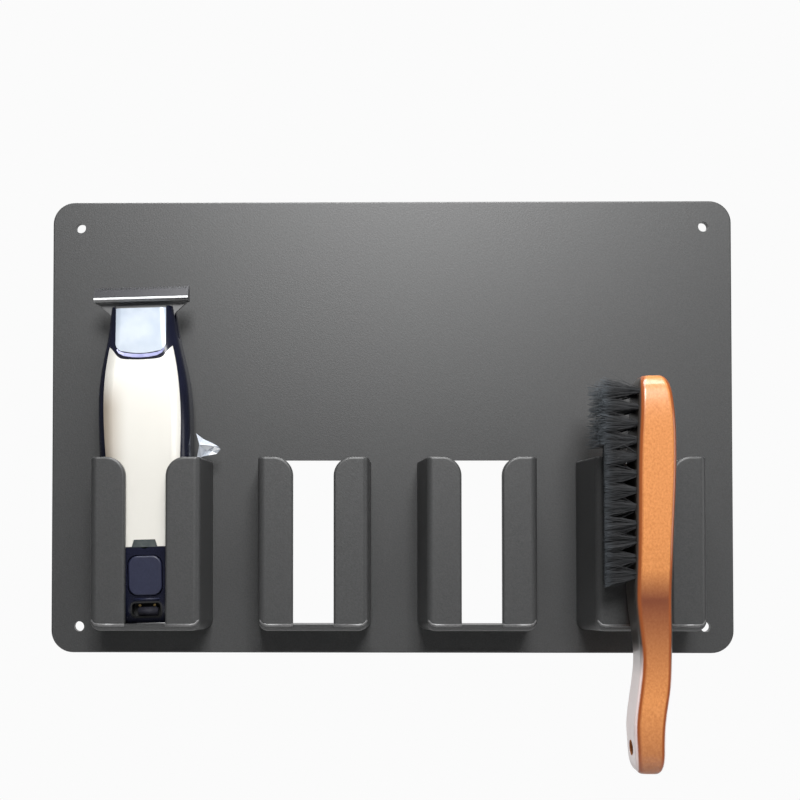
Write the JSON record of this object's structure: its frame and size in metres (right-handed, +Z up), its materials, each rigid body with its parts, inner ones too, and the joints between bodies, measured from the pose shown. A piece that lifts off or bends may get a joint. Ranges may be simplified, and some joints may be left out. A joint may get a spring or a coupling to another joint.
{
  "type": "salon styling station",
  "caption": "Wall-mounted styling-tool rack: flat rounded panel with open-fronted pockets, holding a cordless T-blade trimmer and a wooden bristle brush.",
  "frame": {"origin": "centre of the four screw holes, on the back face of the panel that lies on the wall", "axes": "+Z up, +X to the right seen from the front, +Y into the wall; the pockets stand out towards -Y"},
  "size_m": [0.34, 0.0602, 0.2745],
  "materials": {
    "rack_plastic": "satin graphite, fine even texture",
    "casing_plastic": "smooth dark blue, slightly glossy",
    "cover_metal": "brushed champagne",
    "thumb_metal": "polished plate under pale film",
    "lens_plastic": "clear moulded lens",
    "button_plastic": "smooth satin dark blue",
    "blade_steel": "ground steel, polished edge",
    "screw_steel": "zinc plated",
    "inner_plastic": "plain white moulding",
    "socket_plastic": "black moulding",
    "contact_brass": "plated contacts",
    "board_green": "solder mask",
    "cell_wrap": "shrink wrap",
    "motor_steel": "drawn can",
    "clear_film": "crumpled clear film",
    "varnished_wood": "orange brown varnish",
    "black_bristle": "stiff black bristle"
  },
  "bodies": {
    "rack": {"rack_panel": "rack_plastic", "pocket_1": "rack_plastic", "pocket_2": "rack_plastic", "pocket_3": "rack_plastic", "pocket_4": "rack_plastic"},
    "trimmer": {"trimmer_front_frame": "casing_plastic", "trimmer_rear_shell": "casing_plastic", "front_plate": "cover_metal", "thumb_plate": "thumb_metal", "led_lens": "lens_plastic", "case_screws": "screw_steel", "charge_socket": "socket_plastic", "contact_pins": "contact_brass", "motor_cradle": "inner_plastic", "circuit_board": "board_green", "tact_switch": "socket_plastic", "status_led": "lens_plastic", "battery_cell": "cell_wrap", "drive_motor": "motor_steel", "fixed_blade": "blade_steel", "blade_bracket": "socket_plastic", "blade_screws": "screw_steel", "tension_spring": "screw_steel", "film_tab": "clear_film"},
    "rotor": {"motor_rotor": "screw_steel"},
    "cutter": {"blade_yoke": "inner_plastic", "moving_blade": "blade_steel"},
    "button": {"power_button": "button_plastic"},
    "brush": {"brush_handle": "varnished_wood", "bristle_tufts": "black_bristle"}
  },
  "joints": [
    {"name": "trimmer_lift", "type": "slide", "parent": "rack", "child": "trimmer", "axis": [-0.0262, 0, 0.9997], "range_m": [0, 0.12]},
    {"name": "rotor_spin", "type": "hinge", "parent": "trimmer", "child": "rotor", "pos_m": [-0.1204, -0.0164, 0.02896], "axis": [-0.0262, 0, 0.9997], "continuous": true},
    {"name": "blade_stroke", "type": "slide", "parent": "trimmer", "child": "cutter", "axis": [0.9997, 0, 0.0262], "range_m": [-0.001, 0.001]},
    {"name": "power_press", "type": "slide", "parent": "trimmer", "child": "button", "axis": [0, 1, 0], "range_m": [0, 0.001], "stiffness_N_per_m": 800},
    {"name": "brush_lift", "type": "slide", "parent": "rack", "child": "brush", "axis": [0, 0, 1], "range_m": [0, 0.11]}
  ]
}
